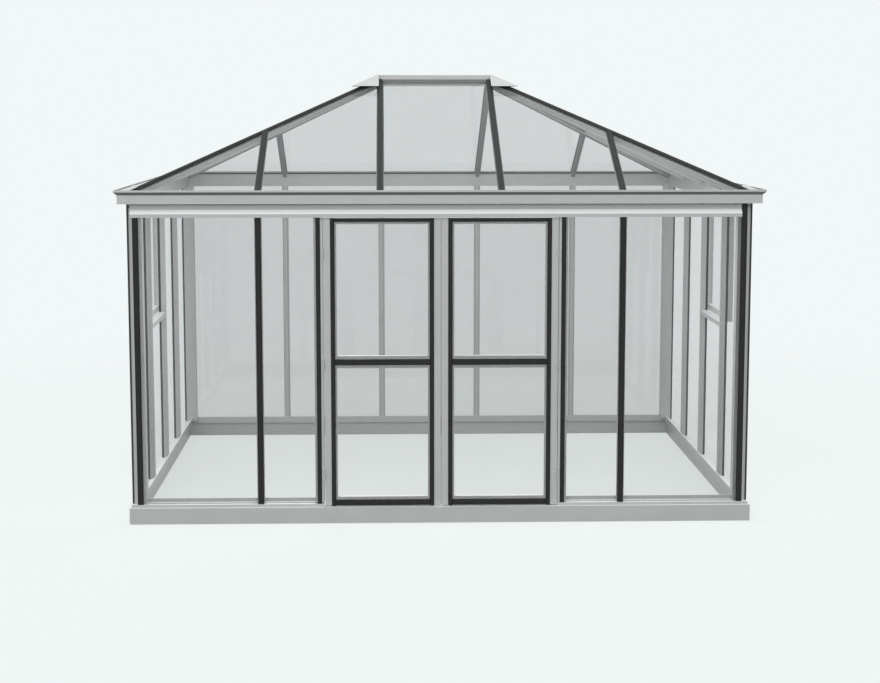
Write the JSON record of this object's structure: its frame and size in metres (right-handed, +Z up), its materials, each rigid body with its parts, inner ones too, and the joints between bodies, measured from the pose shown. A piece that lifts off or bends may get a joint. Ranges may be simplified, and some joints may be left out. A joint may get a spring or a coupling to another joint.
{
  "type": "glass greenhouse",
  "caption": "Hipped glass greenhouse with aluminium glazing bars on a low plinth, eaves gutters, side windows and hinged glazed doors that swing outwards.",
  "frame": {"origin": "on the ground, at the middle of the plinth", "axes": "+Z up, +X along the length, the doors face -Y"},
  "size_m": [3.9, 3.1664, 2.7431],
  "materials": {
    "plinth": "satin",
    "frame": "satin",
    "rubber": "matte",
    "glass": "clear"
  },
  "bodies": {
    "greenhouse": {"back_bars": "frame", "back_glass": "glass", "back_roof_bars": "frame", "back_roof_glass": "glass", "back_strips": "rubber", "corner_caps": "frame", "corner_posts": "frame", "door_header": "frame", "door_jambs": "frame", "eave_beam_back": "frame", "eave_beam_front": "frame", "eave_beam_left": "frame", "eave_beam_right": "frame", "front_bars": "frame", "front_glass": "glass", "front_roof_bars": "frame", "front_roof_glass": "glass", "front_strips": "rubber", "gutter_back": "frame", "gutter_front": "frame", "gutter_left": "frame", "gutter_right": "frame", "hip_bars": "frame", "hip_strips": "rubber", "left_bars": "frame", "left_glass": "glass", "left_roof_bars": "frame", "left_roof_glass": "glass", "left_strips": "rubber", "left_window_frame": "frame", "left_window_glass": "glass", "left_window_transom": "frame", "plinth_back": "plinth", "plinth_front": "plinth", "plinth_left": "plinth", "plinth_right": "plinth", "ridge_bar": "frame", "ridge_caps": "frame", "ridge_strips": "rubber", "right_bars": "frame", "right_glass": "glass", "right_roof_bars": "frame", "right_roof_glass": "glass", "right_strips": "rubber", "right_window_frame": "frame", "right_window_glass": "glass", "right_window_transom": "frame", "roof_strips": "rubber", "sill_back": "frame", "sill_front": "frame", "sill_left": "frame", "sill_right": "frame"},
    "left_door": {"left_door_frame": "frame", "left_door_glass": "glass", "left_door_strips": "rubber"},
    "right_door": {"right_door_frame": "frame", "right_door_glass": "glass", "right_door_strips": "rubber"}
  },
  "joints": [
    {"name": "left_door_hinge", "type": "hinge", "parent": "greenhouse", "child": "left_door", "pos_m": [-0.71125, -1.5152, 0.98], "axis": [0, 0, -1], "range_deg": [0, 100]},
    {"name": "right_door_hinge", "type": "hinge", "parent": "greenhouse", "child": "right_door", "pos_m": [0.71125, -1.5152, 0.98], "axis": [0, 0, 1], "range_deg": [0, 100]}
  ]
}
